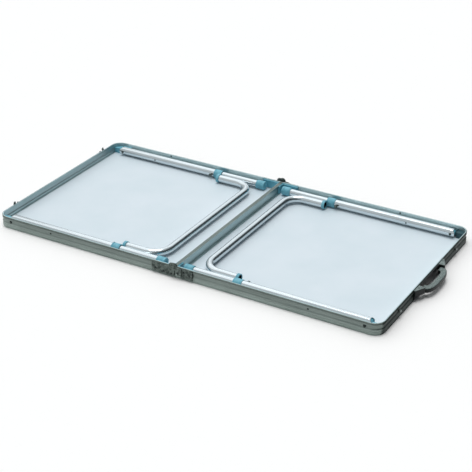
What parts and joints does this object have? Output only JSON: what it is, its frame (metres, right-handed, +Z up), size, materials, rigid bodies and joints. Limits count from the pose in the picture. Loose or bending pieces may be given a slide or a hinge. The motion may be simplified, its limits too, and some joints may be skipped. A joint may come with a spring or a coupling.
{
  "type": "folding table",
  "caption": "Suitcase-style folding table lying open on its top: two shallow aluminium trays hinged at a seam, folding telescopic legs, latches and a carrying handle.",
  "frame": {"origin": "middle of the open table's footprint, handle and latches included, on the plane that its top rests on", "axes": "+X along the length, from the latch end to the handle end; +Y across, away from the camera's side; +Z up, out of the open trays"},
  "size_m": [1.2424, 0.6162, 0.0448],
  "materials": {
    "rim_aluminium": "satin anodised extrusion",
    "leg_tube": "bright drawn tube",
    "board": "pale laminated fibreboard",
    "teal_plastic": "moulded, semi-matt",
    "black_plastic": "moulded, semi-matt",
    "steel": "zinc-plated, dull"
  },
  "bodies": {
    "left_half": {"rim_left": "rim_aluminium", "board_left": "board", "seam_rail_left": "rim_aluminium", "seam_connector_left_near": "teal_plastic", "leg_bracket_left_near": "teal_plastic", "pivot_pin_left_near": "steel", "hinge_plate_left_near": "steel", "hinge_pin_near": "steel", "latch_pivot_near": "steel", "seam_connector_left_far": "teal_plastic", "leg_bracket_left_far": "teal_plastic", "pivot_pin_left_far": "steel", "hinge_plate_left_far": "steel", "hinge_pin_far": "steel", "latch_pivot_far": "steel"},
    "right_half": {"rim_right": "rim_aluminium", "board_right": "board", "seam_rail_right": "rim_aluminium", "seam_connector_right_near": "teal_plastic", "leg_bracket_right_near": "teal_plastic", "pivot_pin_right_near": "steel", "hinge_plate_right_near": "steel", "catch_stud_near": "steel", "seam_connector_right_far": "teal_plastic", "leg_bracket_right_far": "teal_plastic", "pivot_pin_right_far": "steel", "hinge_plate_right_far": "steel", "catch_stud_far": "steel", "handle_base": "black_plastic"},
    "leg_set_left": {"leg_brace_left": "leg_tube", "outer_tube_left_near": "leg_tube", "tube_plug_left_near": "teal_plastic", "collar_left_near": "teal_plastic", "outer_tube_left_far": "leg_tube", "tube_plug_left_far": "teal_plastic", "collar_left_far": "teal_plastic"},
    "leg_set_right": {"leg_brace_right": "leg_tube", "outer_tube_right_near": "leg_tube", "tube_plug_right_near": "teal_plastic", "collar_right_near": "teal_plastic", "outer_tube_right_far": "leg_tube", "tube_plug_right_far": "teal_plastic", "collar_right_far": "teal_plastic"},
    "extension_left_near": {"extension_tube_left_near": "leg_tube", "foot_cap_left_near": "teal_plastic"},
    "extension_left_far": {"extension_tube_left_far": "leg_tube", "foot_cap_left_far": "teal_plastic"},
    "extension_right_near": {"extension_tube_right_near": "leg_tube", "foot_cap_right_near": "teal_plastic"},
    "extension_right_far": {"extension_tube_right_far": "leg_tube", "foot_cap_right_far": "teal_plastic"},
    "knob_left_near": {"lock_knob_left_near": "steel"},
    "knob_left_far": {"lock_knob_left_far": "steel"},
    "knob_right_near": {"lock_knob_right_near": "steel"},
    "knob_right_far": {"lock_knob_right_far": "steel"},
    "latch_near": {"latch_arm_near": "black_plastic"},
    "latch_far": {"latch_arm_far": "black_plastic"},
    "handle": {"handle_grip": "black_plastic"}
  },
  "joints": [
    {"name": "fold", "type": "hinge", "parent": "left_half", "child": "right_half", "pos_m": [-0.0158, 0, 0.03535], "axis": [0, 1, 0], "range_deg": [-180, 0]},
    {"name": "leg_set_left_turn", "type": "hinge", "parent": "left_half", "child": "leg_set_left", "pos_m": [-0.5708, 0, 0.0212], "axis": [0, -1, 0], "range_deg": [0, 90]},
    {"name": "leg_set_right_turn", "type": "hinge", "parent": "right_half", "child": "leg_set_right", "pos_m": [0.5392, 0, 0.0212], "axis": [0, 1, 0], "range_deg": [0, 90]},
    {"name": "extend_left_near", "type": "slide", "parent": "leg_set_left", "child": "extension_left_near", "axis": [1, 0, 0], "range_m": [0, 0.1668]},
    {"name": "extend_left_far", "type": "slide", "parent": "leg_set_left", "child": "extension_left_far", "axis": [1, 0, 0], "range_m": [0, 0.1668]},
    {"name": "extend_right_near", "type": "slide", "parent": "leg_set_right", "child": "extension_right_near", "axis": [-1, 0, 0], "range_m": [0, 0.1408]},
    {"name": "extend_right_far", "type": "slide", "parent": "leg_set_right", "child": "extension_right_far", "axis": [-1, 0, 0], "range_m": [0, 0.1408]},
    {"name": "pull_knob_left_near", "type": "slide", "parent": "leg_set_left", "child": "knob_left_near", "axis": [0, 1, 0], "range_m": [0, 0.004], "stiffness_N_per_m": 400, "springref_m": -0.002},
    {"name": "pull_knob_left_far", "type": "slide", "parent": "leg_set_left", "child": "knob_left_far", "axis": [0, -1, 0], "range_m": [0, 0.004], "stiffness_N_per_m": 400, "springref_m": -0.002},
    {"name": "pull_knob_right_near", "type": "slide", "parent": "leg_set_right", "child": "knob_right_near", "axis": [0, 1, 0], "range_m": [0, 0.004], "stiffness_N_per_m": 400, "springref_m": -0.002},
    {"name": "pull_knob_right_far", "type": "slide", "parent": "leg_set_right", "child": "knob_right_far", "axis": [0, -1, 0], "range_m": [0, 0.004], "stiffness_N_per_m": 400, "springref_m": -0.002},
    {"name": "latch_near_turn", "type": "hinge", "parent": "left_half", "child": "latch_near", "pos_m": [-0.6175, -0.188, 0.0212], "axis": [1, 0, 0], "range_deg": [-68, 0]},
    {"name": "latch_far_turn", "type": "hinge", "parent": "left_half", "child": "latch_far", "pos_m": [-0.6175, 0.188, 0.0212], "axis": [-1, 0, 0], "range_deg": [-68, 0]},
    {"name": "handle_turn", "type": "hinge", "parent": "right_half", "child": "handle", "pos_m": [0.5957, 0, 0.021], "axis": [0, -1, 0], "range_deg": [0, 90]}
  ],
  "couplings": [
    {"joint": "extend_left_near", "follows": "leg_set_left_turn", "m_per_rad": 0.10619},
    {"joint": "extend_left_far", "follows": "leg_set_left_turn", "m_per_rad": 0.10619},
    {"joint": "extend_right_near", "follows": "leg_set_right_turn", "m_per_rad": 0.089636},
    {"joint": "extend_right_far", "follows": "leg_set_right_turn", "m_per_rad": 0.089636}
  ]
}
